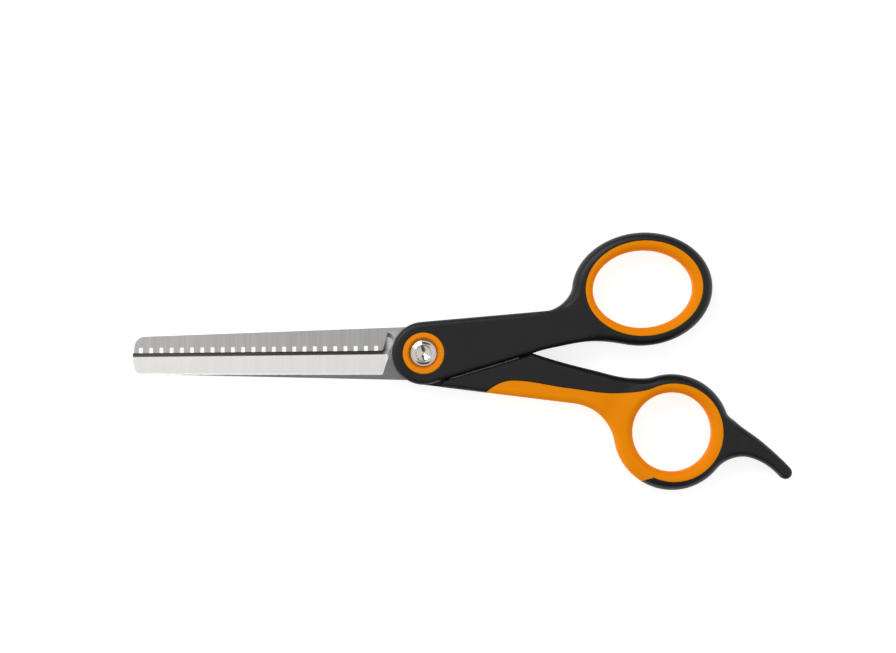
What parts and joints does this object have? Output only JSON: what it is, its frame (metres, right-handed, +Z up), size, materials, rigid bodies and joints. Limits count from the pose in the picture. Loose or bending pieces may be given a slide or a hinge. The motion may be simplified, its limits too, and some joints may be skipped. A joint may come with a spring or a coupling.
{
  "type": "thinning shears",
  "caption": "Hairdressing thinning shears: plain blade over a toothed blade on a tension screw, moulded handles with soft-lined rings and a finger rest.",
  "frame": {"origin": "the pivot axis, on the plane that the shears lie on", "axes": "+X along the shears from the pivot to the finger rest, +Y towards the thumb ring, +Z up towards the screw head"},
  "size_m": [0.1698, 0.0663, 0.0087],
  "materials": {
    "blade_steel": "ground satin stainless steel",
    "handle_plastic": "black, finely textured",
    "soft_grip": "orange soft-touch elastomer",
    "collar_plastic": "orange, satin",
    "screw_metal": "bright nickel plate",
    "washer_steel": "plain zinc plate",
    "washer_plastic": "natural nylon"
  },
  "bodies": {
    "finger_half": {"thinning_blade": "blade_steel", "finger_handle": "handle_plastic", "finger_handle_grip": "soft_grip", "pivot_nut": "washer_steel", "friction_washer": "washer_plastic"},
    "thumb_half": {"straight_blade": "blade_steel", "thumb_handle": "handle_plastic", "thumb_ring_grip": "soft_grip", "pivot_collar": "collar_plastic"},
    "tension_screw": {"pivot_screw": "screw_metal", "spring_washer": "washer_steel"}
  },
  "joints": [
    {"name": "blade_pivot", "type": "hinge", "parent": "finger_half", "child": "thumb_half", "pos_m": [0, 0, 0.0043], "axis": [0, 0, 1], "range_deg": [0, 65]},
    {"name": "tension_adjust", "type": "hinge", "parent": "finger_half", "child": "tension_screw", "pos_m": [0, 0, 0.0043], "axis": [0, 0, 1], "range_deg": [-45, 45]}
  ]
}
